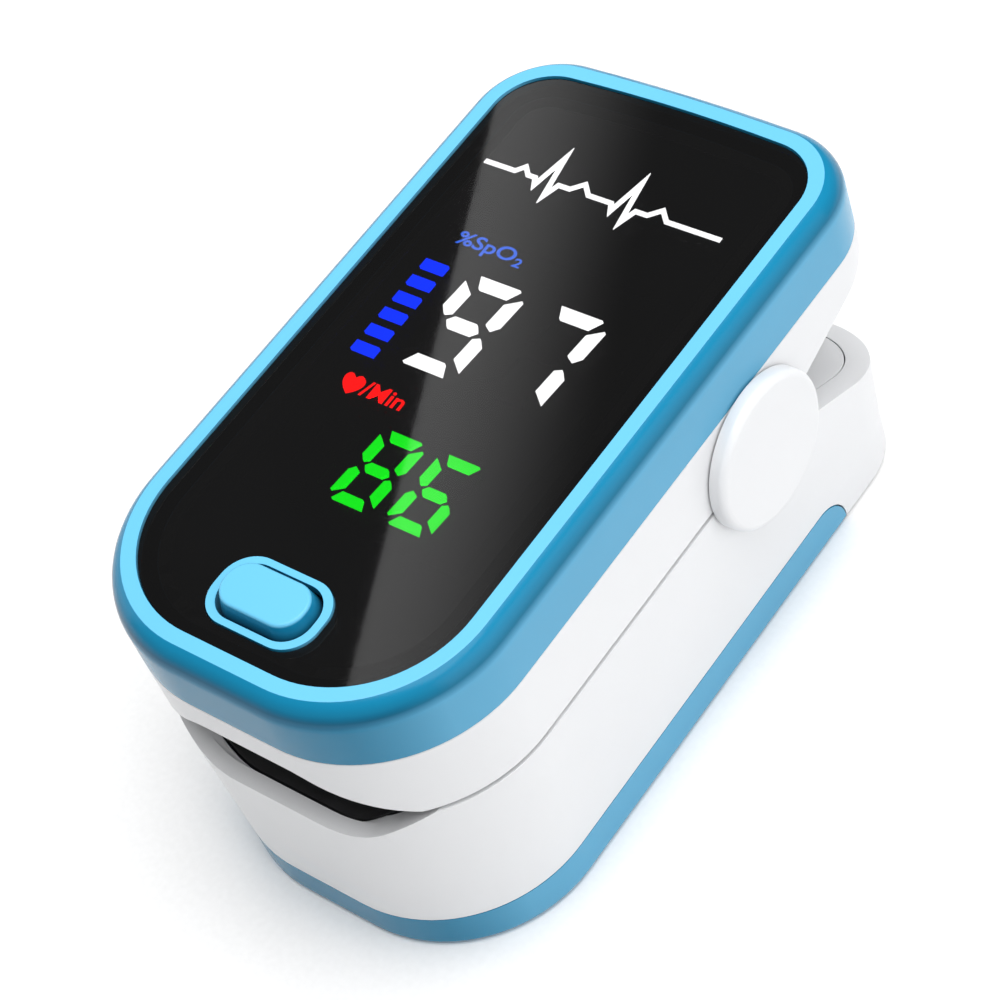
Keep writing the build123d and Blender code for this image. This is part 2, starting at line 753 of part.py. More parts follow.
# Tactile switch under the button.
with BuildPart() as tact_switch:
    add(box_between((-2.2, button_y - 1.7, board_top_z), (2.2, button_y + 1.7, board_top_z + 1.2)))
    add(rod_z(1.0, board_top_z + 1.0, board_top_z + 1.6, 0, button_y))
tact_switch.part.label = "tact_switch"
export_step(tact_switch.part, "parts/tact_switch.step")

# Push button: tapered crown, straight guide in the well, and a flange below it.
switch_top_z = board_top_z + 1.6
stem_low_z = switch_top_z + button_travel + 0.05
with BuildPart() as power_button:
    with BuildSketch(Plane.XY.offset(collar_top_z - button_travel - 0.3)):
        with Locations((0, button_y)):
            RectangleRounded(*button_base, 2.1)
    with BuildSketch(Plane.XY.offset(button_top_z)):
        with Locations((0, button_y)):
            RectangleRounded(*button_crown, 1.85)
    loft(ruled=True)
    fillet(power_button.edges().group_by(Axis.Z)[-1], 0.25)
    add(slot_solid(button_base, 2.1, stem_low_z, collar_top_z - button_travel - 0.3, button_y))
    flange = tuple(size + 1.2 for size in button_base)
    add(slot_solid(flange, 2.4, stem_low_z, floor_low_z - 0.1, button_y))
power_button.part.label = "power_button"
export_step(power_button.part, "parts/power_button.step")

# Upper shell: white band between the top cover and the parting line.
with BuildPart() as upper_shell:
    extrude(upper_outline(upper_low_z), amount=band_z - upper_low_z)
    extrude(upper_outline(upper_low_z, upper_wall), amount=band_z - upper_low_z, mode=Mode.SUBTRACT)
    add(channel(arch_points, 4.0, front_y - 1.0, front_y + 12.0), mode=Mode.SUBTRACT)
    add(across([(9.0, ramp_z(9.0)), (far, ramp_z(far)), (far, 0), (9.0, 0)]), mode=Mode.SUBTRACT)
    add(ear_recess, mode=Mode.SUBTRACT)
upper_shell.part.label = "upper_shell"
export_step(upper_shell.part, "parts/upper_shell.step")

# Upper tray: plate above the finger pad, rising ramp at the rear, hinge lugs.
with BuildPart() as upper_tray:
    extrude(upper_outline(upper_low_z, upper_wall + 0.1), amount=upper_tray_top_z - upper_low_z)
    add(
        across([
            (-far, upper_tray_top_z), (-far, upper_tray_low_z), (15.2, upper_tray_low_z),
            (15.2, ramp_z(15.2)), (rear_y, ramp_z(rear_y)), (rear_y, upper_tray_top_z),
            (27.7, upper_tray_top_z), (16.4, ramp_z(16.4) + 1.25), (16.4, upper_tray_top_z),
        ]),
        mode=Mode.INTERSECT,
    )
    add(ear_recess, mode=Mode.SUBTRACT)
    for side in (-1, 1):
        low = (side * lug_inner_x, pivot_y - lug_radius, pivot_z)
        high = (side * lug_outer_x, pivot_y + lug_radius, upper_tray_low_z + 0.2)
        hole_ends = (side * (lug_inner_x - 0.3), side * (lug_outer_x + 0.1))
        add(box_between(low, high))
        add(rod_x(lug_radius, side * lug_inner_x, side * lug_outer_x))
        add(rod_x(pin_radius + running_clearance, *hole_ends), mode=Mode.SUBTRACT)
    # openings for the light source and the ribbon cable
    add(box_between((-2.6, window_y - 2.1, 23.0), (2.6, window_y + 2.1, 26.0)), mode=Mode.SUBTRACT)
    add(box_between((-3.0, 4.7, 23.0), (3.0, 8.6, 26.0)), mode=Mode.SUBTRACT)
    for place in screw_places:
        add(rod_z(shank_radius + 0.2, 23.0, 26.0, *place), mode=Mode.SUBTRACT)
upper_tray.part.label = "upper_tray"
export_step(upper_tray.part, "parts/upper_tray.step")

# Upper finger pad: soft arch that meets the nail side of the finger.
with BuildPart() as upper_finger_pad:
    extrude(upper_outline(pad_high_low_z, upper_wall + 0.2), amount=upper_tray_low_z - pad_high_low_z)
    add(box_between((-far, finger_stop_y, 0), (far, far, far)), mode=Mode.SUBTRACT)
    add(channel(roof_points, 4.0, -far, finger_stop_y - stop_thickness), mode=Mode.SUBTRACT)
    add(window_hole(20.0, upper_tray_low_z), mode=Mode.SUBTRACT)
    for place in screw_places:
        head_top_z = upper_tray_low_z + 1
        add(rod_z(head_radius + 0.15, upper_tray_low_z - 1.1, head_top_z, *place), mode=Mode.SUBTRACT)
upper_finger_pad.part.label = "upper_finger_pad"
export_step(upper_finger_pad.part, "parts/upper_finger_pad.step")

# Two-colour light source, its clear window, and the ribbon's socket.
with BuildPart() as emitter_window:
    add(box_between((-3.0, window_y - 2.5, 22.8), (3.0, window_y + 2.5, 23.8)))
    fillet(emitter_window.edges().filter_by(Axis.Z), 0.6)
emitter_window.part.label = "emitter_window"
export_step(emitter_window.part, "parts/emitter_window.step")

with BuildPart() as emitter_led:
    add(box_between((-2.0, window_y - 1.6, 24.6), (2.0, window_y + 1.6, board_low_z)))
    add(rod_z(1.2, 24.2, 25.0, 0, window_y))
emitter_led.part.label = "emitter_led"
export_step(emitter_led.part, "parts/emitter_led.step")

with BuildPart() as flex_socket:
    add(box_between((-2.8, 4.9, 25.1), (2.8, 7.6, board_low_z)))
    chamfer(flex_socket.edges().group_by(Axis.Z)[0], 0.15)
flex_socket.part.label = "flex_socket"
export_step(flex_socket.part, "parts/flex_socket.step")

# Screws that hold the upper tray to the top cover, hidden under the pad.
with BuildPart() as upper_screws:
    for place in screw_places:
        add(rod_z(shank_radius, upper_tray_low_z, 28.8, *place))
        add(rod_z(head_radius, upper_tray_low_z - head_height, upper_tray_low_z, *place))
        add(cross_slot(*place, upper_tray_low_z - head_height), mode=Mode.SUBTRACT)
upper_screws.part.label = "upper_screws"
export_step(upper_screws.part, "parts/upper_screws.step")
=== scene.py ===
import math

import bpy
from mathutils import Matrix, Vector


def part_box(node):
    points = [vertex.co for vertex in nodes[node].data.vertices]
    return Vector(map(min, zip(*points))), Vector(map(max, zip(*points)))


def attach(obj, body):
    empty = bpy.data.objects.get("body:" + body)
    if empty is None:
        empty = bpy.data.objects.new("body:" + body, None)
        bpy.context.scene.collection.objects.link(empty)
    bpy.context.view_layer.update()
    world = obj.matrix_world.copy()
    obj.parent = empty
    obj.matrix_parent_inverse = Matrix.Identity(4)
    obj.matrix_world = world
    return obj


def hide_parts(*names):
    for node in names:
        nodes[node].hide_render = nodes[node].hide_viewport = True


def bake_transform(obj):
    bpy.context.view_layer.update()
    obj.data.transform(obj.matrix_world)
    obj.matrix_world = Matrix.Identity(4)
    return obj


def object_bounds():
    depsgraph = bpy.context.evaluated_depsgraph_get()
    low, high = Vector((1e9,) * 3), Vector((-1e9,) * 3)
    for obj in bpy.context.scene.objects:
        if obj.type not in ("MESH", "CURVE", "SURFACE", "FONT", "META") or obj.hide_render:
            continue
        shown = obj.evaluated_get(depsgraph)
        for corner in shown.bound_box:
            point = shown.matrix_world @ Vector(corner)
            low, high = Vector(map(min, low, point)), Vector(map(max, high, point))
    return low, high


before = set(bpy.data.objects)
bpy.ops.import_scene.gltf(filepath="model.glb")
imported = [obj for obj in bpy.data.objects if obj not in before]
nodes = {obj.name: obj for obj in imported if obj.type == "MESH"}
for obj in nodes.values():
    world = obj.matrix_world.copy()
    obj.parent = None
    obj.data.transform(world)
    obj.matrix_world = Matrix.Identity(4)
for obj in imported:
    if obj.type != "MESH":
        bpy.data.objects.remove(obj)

cad_low, cad_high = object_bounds()

MM = 0.001
scene = bpy.context.scene
scene.view_settings.view_transform = "Standard"

# Heights that the finishes and pieces below are placed by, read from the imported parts.
lens_low, lens_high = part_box("display_window")
module_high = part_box("display_module")[1]
button_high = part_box("power_button")[1]

# The region under the window that is masked black, from the middle of the case.
MASK_HALF_WIDTH = 12.5 * MM
MASK_HALF_LENGTH = 22.5 * MM


# ---------------------------------------------------------------- materials


def linear(red, green, blue):
    """Scene-linear colour from display values of 0 to 255."""

    def one(value):
        share = value / 255.0
        return share / 12.92 if share <= 0.04045 else ((share + 0.055) / 1.055) ** 2.4

    return (one(red), one(green), one(blue), 1.0)


class Surface:
    """A Principled material with helpers for its procedural detail."""

    def __init__(self, name):
        self.material = bpy.data.materials.new(name)
        self.material.use_nodes = True
        self.tree = self.material.node_tree
        self.shader = self.tree.nodes["Principled BSDF"]
        self.place = self.tree.nodes.new("ShaderNodeTexCoord").outputs["Object"]

    def set(self, **values):
        """Constant values on the shader's own sockets."""
        for name, value in values.items():
            self.shader.inputs[name.replace("_", " ")].default_value = value

    def noise(self, scale, detail=3.0, stretch=(1, 1, 1)):
        """Noise in the object's own coordinates, in cycles per metre."""
        mapping = self.tree.nodes.new("ShaderNodeMapping")
        mapping.inputs["Scale"].default_value = stretch
        texture = self.tree.nodes.new("ShaderNodeTexNoise")
        texture.inputs["Scale"].default_value = scale
        texture.inputs["Detail"].default_value = detail
        self.tree.links.new(self.place, mapping.inputs["Vector"])
        self.tree.links.new(mapping.outputs["Vector"], texture.inputs["Vector"])
        return texture.outputs["Fac"]

    def ramp(self, factor, stops):
        """Colour ramp over a factor. Stops are (position, colour)."""
        ramp = self.tree.nodes.new("ShaderNodeValToRGB")
        elements = ramp.color_ramp.elements
        elements[0].position, elements[0].color = stops[0]
        elements[1].position, elements[1].color = stops[-1]
        for position, colour in stops[1:-1]:
            elements.new(position).color = colour
        self.tree.links.new(factor, ramp.inputs["Fac"])
        return ramp.outputs["Color"]

    def range(self, factor, low, high):
        """Factor mapped onto a range."""
        node = self.tree.nodes.new("ShaderNodeMapRange")
        node.inputs["From Min"].default_value = 0.3
        node.inputs["From Max"].default_value = 0.7
        node.inputs["To Min"].default_value = low
        node.inputs["To Max"].default_value = high
        self.tree.links.new(factor, node.inputs["Value"])
        return node.outputs["Result"]

    def height(self, low, high):
        """Height between two levels, as 0 to 1."""
        split = self.tree.nodes.new("ShaderNodeSeparateXYZ")
        self.tree.links.new(self.place, split.inputs["Vector"])
        return self.span(split.outputs["Z"], low, high)

    def beyond(self, axis, half_width):
        """One where the surface is further out along an axis than a half width, else zero."""
        split = self.tree.nodes.new("ShaderNodeSeparateXYZ")
        self.tree.links.new(self.place, split.inputs["Vector"])
        aside = self.tree.nodes.new("ShaderNodeMath")
        aside.operation = "ABSOLUTE"
        self.tree.links.new(split.outputs[axis], aside.inputs[0])
        compare = self.tree.nodes.new("ShaderNodeMath")
        compare.operation = "GREATER_THAN"
        compare.inputs[1].default_value = half_width
        self.tree.links.new(aside.outputs["Value"], compare.inputs[0])
        return compare.outputs["Value"]

    def span(self, factor, low, high):
        """Factor as 0 to 1 between two values."""
        node = self.tree.nodes.new("ShaderNodeMapRange")
        node.inputs["From Min"].default_value = low
        node.inputs["From Max"].default_value = high
        self.tree.links.new(factor, node.inputs["Value"])
        return node.outputs["Result"]

    def pair(self, operation, one, other):
        """Two values put through one arithmetic operation."""
        node = self.tree.nodes.new("ShaderNodeMath")
        node.operation = operation
        self.tree.links.new(one, node.inputs[0])
        self.tree.links.new(other, node.inputs[1])
        return node.outputs["Value"]

    def largest(self, one, other):
        return self.pair("MAXIMUM", one, other)

    def smallest(self, one, other):
        return self.pair("MINIMUM", one, other)

    def multiply(self, one, other):
        """Product of two colours."""
        mix = self.tree.nodes.new("ShaderNodeMix")
        mix.data_type = "RGBA"
        mix.blend_type = "MULTIPLY"
        mix.inputs["Factor"].default_value = 1.0
        self.tree.links.new(one, mix.inputs[6])
        self.tree.links.new(other, mix.inputs[7])
        return mix.outputs[2]

    def link(self, output, socket):
        """Output of a node into one of the shader's own sockets."""
        self.tree.links.new(output, self.shader.inputs[socket])

    def bump(self, heights, distance):
        """Bump from several height fields, each laid over the last."""
        normal = None
        for height, strength in heights:
            node = self.tree.nodes.new("ShaderNodeBump")
            node.inputs["Strength"].default_value = strength
            node.inputs["Distance"].default_value = distance
            self.tree.links.new(height, node.inputs["Height"])
            if normal is not None:
                self.tree.links.new(normal, node.inputs["Normal"])
            normal = node.outputs["Normal"]
        self.tree.links.new(normal, self.shader.inputs["Normal"])


def tinted(colour, factor):
    """The colour made lighter or darker by a factor."""
    return tuple(min(1.0, channel * factor) for channel in colour[:3]) + (1.0,)


def moulded_plastic(name, colour, roughness, specular, spread=0.025, grain=0.012):
    """Glossy moulded plastic: faint flow mottling, fine spark texture, uneven gloss.

    The colour is one value, or a function that adds its own nodes and returns their output.
    """
    surface = Surface(name)
    surface.set(IOR=1.5, Specular_IOR_Level=specular)
    flow = surface.noise(140.0, 1.0, (1.0, 0.6, 1.4))
    fine = surface.noise(2600.0, 2.0)
    smudge = surface.noise(320.0, 2.0)
    if callable(colour):
        shade = surface.ramp(flow, [(0.1, (1 - 2 * spread,) * 3 + (1,)), (0.9, (1, 1, 1, 1))])
        surface.link(surface.multiply(colour(surface), shade), "Base Color")
    else:
        stops = [(0.1, tinted(colour, 1 - spread)), (0.9, tinted(colour, 1 + spread))]
        surface.link(surface.ramp(flow, stops), "Base Color")
    surface.link(surface.range(smudge, roughness * 0.95, roughness * 1.06), "Roughness")
    surface.bump([(fine, grain)], 0.00004)
    return surface.material


def by_slope(stops, recess_z=None):
    """Colour by how far a moulded face leans: 0 is upright and 1 faces up, with painted light on faces that
    look up and painted shade low on rounded edges. Front faces get painted shade.

    Below recess_z, faces that look up and everything near the middle are black, as they are
    the masked floor and wells under the window.
    """

    def build(surface):
        coordinates = surface.tree.nodes.new("ShaderNodeTexCoord")
        lean = surface.tree.nodes.new("ShaderNodeSeparateXYZ")
        surface.tree.links.new(coordinates.outputs["Normal"], lean.inputs["Vector"])
        # Painted shade on faces turned to the front that do not look up.
        front = surface.span(lean.outputs["Y"], -0.85, -0.45)
        leaning = surface.span(lean.outputs["Z"], 0.25, 0.6)
        shade = surface.ramp(surface.largest(front, leaning), [(0.0, FRONT_SHADE), (1.0, (1, 1, 1, 1))])
        # Painted light and shade by how far the face leans.
        colour = surface.multiply(surface.ramp(lean.outputs["Z"], stops), shade)
        if recess_z is None:
            return colour
        height = surface.height(recess_z - 0.05 * MM, recess_z + 0.05 * MM)
        upright = surface.ramp(lean.outputs["Z"], [(0.85, (1, 1, 1, 1)), (0.9, (0, 0, 0, 1))])
        beside = surface.largest(surface.beyond("X", MASK_HALF_WIDTH), surface.beyond("Y", MASK_HALF_LENGTH))
        keep = surface.largest(height, surface.smallest(upright, beside))
        surface.link(surface.range(keep, 0.02, 0.2), "Specular IOR Level")
        masked = surface.ramp(keep, [(0.0, (0.004, 0.004, 0.004, 1)), (1.0, (1, 1, 1, 1))])
        return surface.multiply(colour, masked)

    return build


def by_height(low, high, stops):
    """Colour by height between two levels."""

    def build(surface):
        return surface.ramp(surface.height(low, high), stops)

    return build


def silicone():
    """Soft black silicone with a dusty, finely pitted skin."""
    surface = Surface("silicone")
    fine = surface.noise(4200.0, 3.0)
    dust = surface.noise(260.0, 6.0)
    stops = [(0.3, (0.012, 0.012, 0.013, 1)), (0.75, (0.03, 0.03, 0.032, 1))]
    surface.link(surface.ramp(dust, stops), "Base Color")
    surface.link(surface.range(dust, 0.48, 0.66), "Roughness")
    surface.bump([(dust, 0.1), (fine, 0.35)], 0.00006)
    return surface.material


def tinted_window():
    """Dark tinted window: lets the lit segments through and keeps the rest black."""
    surface = Surface("tinted_window")
    surface.set(Alpha=0.68, IOR=1.49)
    film = surface.noise(60.0, 3.0)
    fine = surface.noise(900.0, 4.0)
    stops = [(0.3, (0.0035, 0.0035, 0.0036, 1)), (0.7, (0.0045, 0.0045, 0.0047, 1))]
    surface.link(surface.ramp(film, stops), "Base Color")
    surface.link(surface.range(fine, 0.02, 0.034), "Roughness")
    return surface.material


def lit_segment(name, colour, strength):
    """Lit segment: an even glow, very slightly mottled by its diffuser."""
    surface = Surface(name)
    mottle = surface.noise(1400.0, 3.0)
    low, high = tinted(colour, 0.94), tinted(colour, 1.0)
    glow = surface.ramp(mottle, [(0.3, low), (0.7, high)])
    surface.link(glow, "Base Color")
    surface.link(glow, "Emission Color")
    surface.set(Emission_Strength=strength, Roughness=0.4)
    return surface.material


def metal(name, colour, roughness, stretch, brushing=900.0):
    """Bright metal with fine drawn or brushed marks along one direction."""
    surface = Surface(name)
    surface.set(Metallic=1.0)
    marks = surface.noise(brushing, 4.0, stretch)
    blotch = surface.noise(260.0, 4.0)
    stops = [(0.3, tinted(colour, 0.82)), (0.7, tinted(colour, 1.05))]
    surface.link(surface.ramp(blotch, stops), "Base Color")
    surface.link(surface.range(marks, roughness * 0.7, roughness * 1.4), "Roughness")
    surface.bump([(marks, 0.12)], 0.00003)
    return surface.material


def dull_plastic(name, colour, roughness=0.5, grain=0.25, specular=0.5):
    """Matt moulded plastic, epoxy or nylon with a fine even grain."""
    surface = Surface(name)
    surface.set(Specular_IOR_Level=specular)
    blotch = surface.noise(420.0, 4.0)
    fine = surface.noise(5200.0, 2.0)
    stops = [(0.3, tinted(colour, 0.88)), (0.7, tinted(colour, 1.1))]
    surface.link(surface.ramp(blotch, stops), "Base Color")
    surface.link(surface.range(blotch, roughness * 0.9, roughness * 1.15), "Roughness")
    surface.bump([(fine, grain)], 0.00004)
    return surface.material


def circuit_board():
    """Green solder mask over faint copper tracks."""
    surface = Surface("circuit_board")
    bricks = surface.tree.nodes.new("ShaderNodeTexBrick")
    bricks.inputs["Scale"].default_value = 420.0
    bricks.inputs["Mortar Size"].default_value = 0.012
    bricks.inputs["Color1"].default_value = (0.010, 0.105, 0.040, 1)
    bricks.inputs["Color2"].default_value = (0.012, 0.125, 0.050, 1)
    bricks.inputs["Mortar"].default_value = (0.035, 0.22, 0.085, 1)
    surface.tree.links.new(surface.place, bricks.inputs["Vector"])
    surface.link(bricks.outputs["Color"], "Base Color")
    fine = surface.noise(2600.0, 3.0)
    surface.link(surface.range(fine, 0.28, 0.4), "Roughness")
    surface.bump([(bricks.outputs["Fac"], 0.2), (fine, 0.08)], 0.00004)
    return surface.material


def battery_wrap():
    """Printed battery can: dark sleeve, copper band towards one end, bright ends."""
    surface = Surface("battery_wrap")
    split = surface.tree.nodes.new("ShaderNodeSeparateXYZ")
    surface.tree.links.new(surface.place, split.inputs["Vector"])
    low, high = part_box("battery_left")
    along = surface.tree.nodes.new("ShaderNodeMapRange")
    along.inputs["From Min"].default_value = low.y
    along.inputs["From Max"].default_value = high.y
    surface.tree.links.new(split.outputs["Y"], along.inputs["Value"])
    sleeve, band, bright = (0.012, 0.014, 0.02, 1), (0.52, 0.20, 0.06, 1), (0.6, 0.6, 0.6, 1)
    stops = [
        (0.0, bright),
        (0.02, bright),
        (0.025, sleeve),
        (0.7, sleeve),
        (0.705, band),
        (0.96, band),
        (0.965, bright),
    ]
    surface.link(surface.ramp(along.outputs["Result"], stops), "Base Color")
    smudge = surface.noise(500.0, 4.0)
    surface.set(Metallic=0.55)
    surface.link(surface.range(smudge, 0.25, 0.4), "Roughness")
    surface.bump([(smudge, 0.05)], 0.00003)
    return surface.material


# Painted light and shade on the blue plastic: palest where a face looks up, deepest low on its rounded edges
# and darker on front faces, as light falls there.
PAINTED_HIGHLIGHT_BLUE = (0.15, 0.54, 0.80, 1)
MID_BLUE = (0.006, 0.215, 0.39, 1)
PAINTED_SHADE_BLUE = (0.010, 0.14, 0.25, 1)
FOOT_SHADE_BLUE = (0.008, 0.06, 0.11, 1)
SIDE_BLUE = (0.10, 0.36, 0.56, 1)
FRONT_SHADE = (0.15, 0.55, 0.62, 1)
WHITE = linear(222, 223, 225)
cover_stops = [
    (0.0, SIDE_BLUE),
    (0.14, SIDE_BLUE),
    (0.4, PAINTED_SHADE_BLUE),
    (0.8, MID_BLUE),
    (0.9, MID_BLUE),
    (0.96, PAINTED_HIGHLIGHT_BLUE),
]
cover_blue = moulded_plastic("blue_plastic", by_slope(cover_stops, lens_low.z + 0.08 * MM), 0.22, 0.2)
# Painted shade on the button: darker towards its foot, with painted light on its top.
button_stops = [(0.0, FOOT_SHADE_BLUE), (0.3, FOOT_SHADE_BLUE), (0.45, PAINTED_SHADE_BLUE), (0.86, MID_BLUE), (0.93, PAINTED_HIGHLIGHT_BLUE)]
button_blue = moulded_plastic(
    "button_plastic", by_height(lens_high.z - 0.9 * MM, button_high.z, button_stops), 0.22, 0.2
)
# Painted light and shade on the battery door: its colour changes with how far a face leans, and front faces
# are darker.
door_stops = [(0.0, SIDE_BLUE), (0.4, SIDE_BLUE), (0.9, MID_BLUE)]
door_blue = moulded_plastic("door_plastic", by_slope(door_stops), 0.22, 0.2)
white = moulded_plastic("white_plastic", WHITE, 0.32, 0.42, spread=0.008, grain=0.003)
rubber = silicone()
steel = metal("steel", (0.62, 0.62, 0.64, 1), 0.28, (4.0, 0.3, 4.0))
wire = metal("drawn_wire", (0.52, 0.53, 0.56, 1), 0.32, (1.0, 1.0, 1.0), 2400.0)
nickel = metal("nickel_plate", (0.70, 0.66, 0.56, 1), 0.25, (0.4, 3.0, 3.0))
nylon = dull_plastic("nylon", (0.62, 0.58, 0.48, 1))
epoxy = dull_plastic("epoxy", (0.02, 0.02, 0.022, 1), 0.45)
mask = dull_plastic("display_mask", (0.004, 0.004, 0.0042, 1), 0.6, specular=0.02)
foam = dull_plastic("foam", (0.015, 0.015, 0.015, 1), 0.8, 0.5)
GLOW = 11.0
finishes = {
    "top_cover": cover_blue,
    "power_button": button_blue,
    "battery_cover": door_blue,
    "upper_shell": white,
    "upper_tray": white,
    "lower_shell": white,
    "lower_tray": white,
    "side_cap_left": white,
    "side_cap_right": white,
    "upper_finger_pad": rubber,
    "lower_finger_pad": rubber,
    "display_window": tinted_window(),
    "window_gasket": foam,
    "display_module": mask,
    "spo2_digits": lit_segment("lit_white", (1, 1, 1, 1), GLOW),
    "pulse_digits": lit_segment("lit_green", (0.001, 0.72, 0.006, 1), GLOW),
    "strength_bars": lit_segment("lit_blue", (0.0005, 0.028, 1.0, 1), GLOW),
    "heart_icon": lit_segment("lit_red", (1.0, 0.003, 0.003, 1), GLOW),
    "pulse_trace": lit_segment("printed_white", (1, 1, 1, 1), GLOW),
    "unlit_segments": dull_plastic("unlit_segment", (0.006, 0.006, 0.006, 1), 0.6, specular=0.02),
    "main_board": circuit_board(),
    "sensor_board": circuit_board(),
    "board_chips": epoxy,
    "photodiode": epoxy,
    "tact_switch": steel,
    "emitter_window": dull_plastic("red_lens", (0.32, 0.02, 0.02, 1), 0.15, 0.02),
    "sensor_window": dull_plastic("clear_lens", (0.20, 0.03, 0.03, 1), 0.15, 0.02),
    "emitter_led": nylon,
    "flex_socket": nylon,
    "upper_screws": steel,
    "lower_screws": steel,
    "hinge_pin": steel,
    "battery_left": battery_wrap(),
    "battery_right": battery_wrap(),
    "bridge_contact": nickel,
    "rear_contacts": nickel,
    "battery_springs": wire,
    "torsion_spring_left": wire,
    "torsion_spring_right": wire,
    "flex_cable": dull_plastic("polyimide", (0.42, 0.16, 0.02, 1), 0.3, 0.05),
}
for node, finish in finishes.items():
    nodes[node].data.materials.clear()
    nodes[node].data.materials.append(finish)


# ---------------------------------------------------------------- moulded edges


def soften(node, width):
    """Small moulded radius on a part's sharp edges, without moving its own vertices."""
    piece = nodes[node]
    weld = piece.modifiers.new("weld", "WELD")
    weld.merge_threshold = 0.002 * MM
    flatten = piece.modifiers.new("flatten", "DECIMATE")
    flatten.decimate_type = "DISSOLVE"
    flatten.angle_limit = math.radians(0.5)
    edge = piece.modifiers.new("edge", "BEVEL")
    edge.width = width
    edge.segments = 3
    edge.limit_method = "ANGLE"
    edge.angle_limit = math.radians(28)
    edge.harden_normals = False
    shade = piece.modifiers.new("shade", "WEIGHTED_NORMAL")
    shade.keep_sharp = False


EDGES = {
    "top_cover": 0.12,
    "power_button": 0.2,
    "battery_cover": 0.15,
    "upper_shell": 0.2,
    "lower_shell": 0.3,
    "upper_tray": 0.15,
    "lower_tray": 0.35,
    "upper_finger_pad": 0.3,
    "lower_finger_pad": 0.3,
    "display_window": 0.06,
}
for node, width in EDGES.items():
    soften(node, width * MM)
for piece in nodes.values():
    piece.data.shade_smooth()


# ---------------------------------------------------------------- display labels


def label(name, words, start, end, finish):
    """Flat unit label under the window, from a plain font, filling the box from start to end."""
    curve = bpy.data.curves.new(name, "FONT")
    curve.body = words
    curve.size = 1.0
    curve.extrude = 0.02
    curve.offset = 0.012
    text = bpy.data.objects.new(name, curve)
    scene.collection.objects.link(text)
    bpy.context.view_layer.update()
    mesh = bpy.data.meshes.new_from_object(text.evaluated_get(bpy.context.evaluated_depsgraph_get()))
    bpy.data.objects.remove(text)
    piece = bpy.data.objects.new(name, mesh)
    scene.collection.objects.link(piece)
    points = [vertex.co for vertex in mesh.vertices]
    low_x, low_y = min(p.x for p in points), min(p.y for p in points)
    wide, tall = max(p.x for p in points) - low_x, max(p.y for p in points) - low_y
    for vertex in mesh.vertices:
        vertex.co.x = (start[0] + (vertex.co.x - low_x) / wide * (end[0] - start[0])) * MM
        vertex.co.y = (start[1] + (vertex.co.y - low_y) / tall * (end[1] - start[1])) * MM
        vertex.co.z = module_high.z + 0.15 * MM + vertex.co.z * MM
    mesh.materials.append(finish)
    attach(piece, "upper")


label_blue = lit_segment("label_blue", (0.03, 0.12, 0.66, 1), GLOW)
label("label_saturation", "%SpO", (-9.36, 10.25), (-3.72, 11.95), label_blue)
label("label_subscript", "2", (-3.55, 10.35), (-2.83, 11.2), label_blue)
label("label_rate", "/Min", (-6.92, -4.98), (-2.9, -3.5), finishes["heart_icon"])


# ---------------------------------------------------------------- copies of the springs and ribbon at the hinge


def bending_copy(name, node):
    """Copy of a part's mesh, put in place of the rigid part, which is hidden."""
    piece = bpy.data.objects.new(name, nodes[node].data.copy())
    scene.collection.objects.link(piece)
    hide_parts(node)
    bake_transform(piece)


for side in ("left", "right"):
    bending_copy(
        f"bent_spring_{side}",
        f"torsion_spring_{side}",
    )
bending_copy(
    "bent_ribbon",
    "flex_cable",
)


# ---------------------------------------------------------------- camera


def look(location, azimuth, elevation, roll, lens):
    """Camera at a place, looking down at an elevation from an azimuth, turned about its view."""
    turn, tilt, twist = math.radians(azimuth), math.radians(elevation), math.radians(roll)
    forward = Vector((-math.sin(turn) * math.cos(tilt), math.cos(turn) * math.cos(tilt), -math.sin(tilt)))
    level = forward.cross(Vector((0, 0, 1))).normalized()
    upward = level.cross(forward)
    right = math.cos(twist) * level + math.sin(twist) * upward
    above = math.cos(twist) * upward - math.sin(twist) * level
    data = bpy.data.cameras.new("camera")
    data.lens = lens
    data.sensor_width = 36.0
    data.clip_start = 0.01
    camera = bpy.data.objects.new("camera", data)
    axes = Matrix((right, above, -forward)).transposed().to_4x4()
    camera.matrix_world = Matrix.Translation(location) @ axes
    scene.collection.objects.link(camera)
    scene.camera = camera


eye = Vector((115.8, -86.6, 179.7)) * MM
look(eye, 53.75, 48.43, -22.74, 101.1)


# ---------------------------------------------------------------- studio


def area_light(name, azimuth, elevation, distance, size, power, colour=(1, 1, 1)):
    """Soft box around the object, aimed at its middle."""
    turn, rise = math.radians(azimuth), math.radians(elevation)
    back = Vector((math.sin(turn) * math.cos(rise), -math.cos(turn) * math.cos(rise), math.sin(rise)))
    data = bpy.data.lights.new(name, "AREA")
    data.shape = "RECTANGLE"
    data.size, data.size_y = size
    data.energy = power
    data.color = colour
    lamp = bpy.data.objects.new(name, data)
    lamp.location = back * distance + Vector((0, 0, 0.015))
    lamp.rotation_euler = back.to_track_quat("Z", "Y").to_euler()
    scene.collection.objects.link(lamp)


area_light("top_light", 110, 80, 0.55, (0.6, 0.6), 4.5)
area_light("side_light", 96, 22, 0.5, (0.5, 0.35), 0.85)
area_light("left_fill", -85, 15, 0.5, (0.4, 0.3), 0.4)


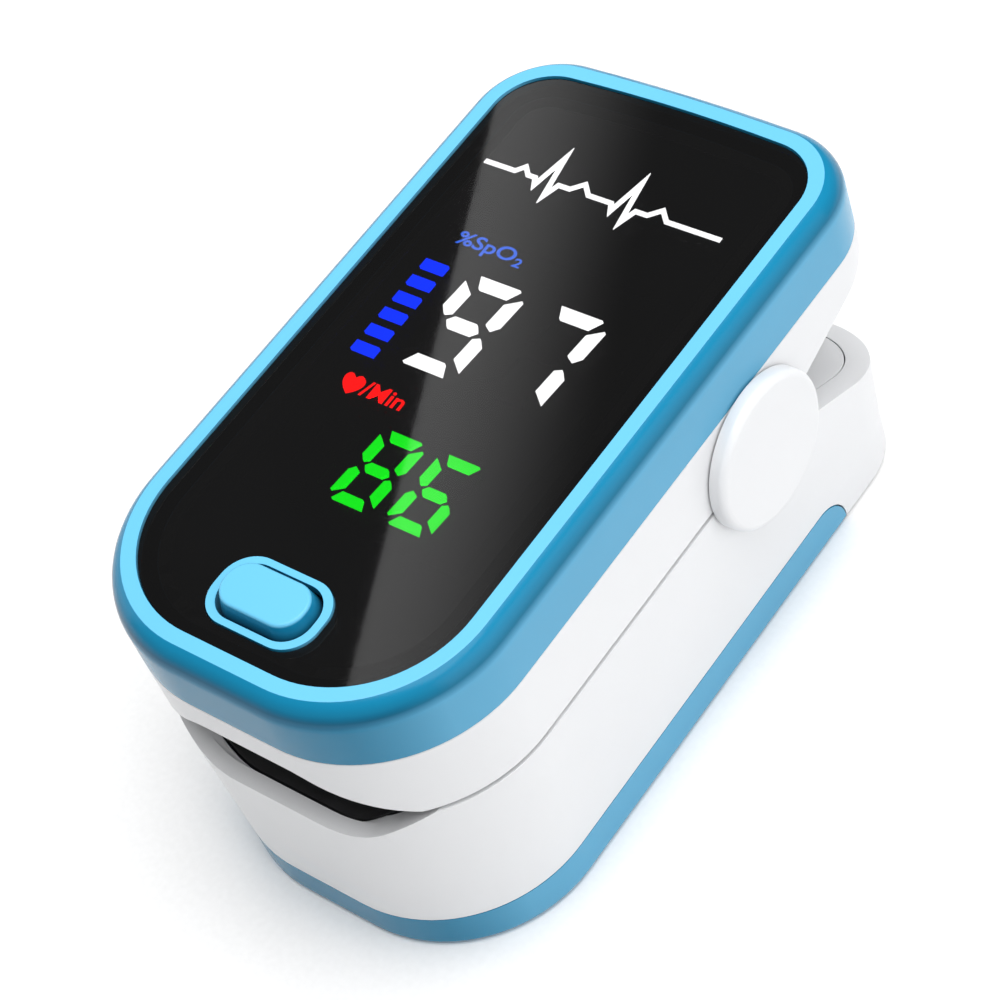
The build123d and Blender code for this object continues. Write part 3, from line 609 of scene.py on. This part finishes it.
def strip_reflection(start, end, ceiling, width, strength):
    """Strip light whose mirror image in the window has its sharp edge from start to end.

    The strip hangs level at the ceiling height, brightest along that edge.
    """
    edge = []
    for x, y in (start, end):
        image = Vector((eye.x, eye.y, 2 * lens_high.z - eye.z))
        along = Vector((x * MM, y * MM, lens_high.z)) - image
        edge.append(image + along * ((ceiling - image.z) / along.z))
    run = edge[1] - edge[0]
    inward = Vector((-run.y, run.x, 0)).normalized()
    data = bpy.data.lights.new("strip_light", "AREA")
    data.shape = "RECTANGLE"
    data.size, data.size_y = run.length * 1.3, width
    data.energy = strength * math.pi * data.size * width
    data.use_nodes = True
    tree = data.node_tree
    spread = tree.nodes.new("ShaderNodeNewGeometry")
    split = tree.nodes.new("ShaderNodeSeparateXYZ")
    fade = tree.nodes.new("ShaderNodeValToRGB")
    fade.color_ramp.elements[0].color = (1, 1, 1, 1)
    fade.color_ramp.elements[1].color = (0, 0, 0, 1)
    fade.color_ramp.interpolation = "EASE"
    tree.links.new(spread.outputs["Parametric"], split.inputs["Vector"])
    tree.links.new(split.outputs["Y"], fade.inputs["Fac"])
    tree.links.new(fade.outputs["Color"], tree.nodes["Emission"].inputs["Strength"])
    lamp = bpy.data.objects.new("strip_light", data)
    lamp.location = (edge[0] + edge[1]) / 2 + inward * width / 2
    lamp.rotation_euler = (0, 0, math.atan2(run.y, run.x))
    scene.collection.objects.link(lamp)


strip_reflection((-14.8, 24.4), (9.8, -26.9), 0.25, 0.036, 1.9)

world = bpy.data.worlds.new("studio")
world.use_nodes = True
world.node_tree.nodes["Background"].inputs["Color"].default_value = (1, 1, 1, 1)
world.node_tree.nodes["Background"].inputs["Strength"].default_value = 0.17
scene.world = world


def floor_material():
    """Pale matt sweep with a trace of paper grain."""
    surface = Surface("pale_floor")
    grain = surface.noise(1800.0, 3.0)
    stops = [(0.3, (0.90, 0.90, 0.90, 1)), (0.7, (0.93, 0.93, 0.93, 1))]
    surface.link(surface.ramp(grain, stops), "Base Color")
    surface.set(Roughness=0.9)
    surface.bump([(grain, 0.03)], 0.00003)
    return surface.material


half_floor = 2.0
floor_mesh = bpy.data.meshes.new("floor")
floor_corners = [
    (-half_floor, -half_floor, 0),
    (half_floor, -half_floor, 0),
    (half_floor, half_floor, 0),
    (-half_floor, half_floor, 0),
]
floor_mesh.from_pydata(floor_corners, [], [(0, 1, 2, 3)])
floor_mesh.materials.append(floor_material())
floor = bpy.data.objects.new("floor", floor_mesh)
floor.location.z = cad_low.z - 0.02 * MM
scene.collection.objects.link(floor)
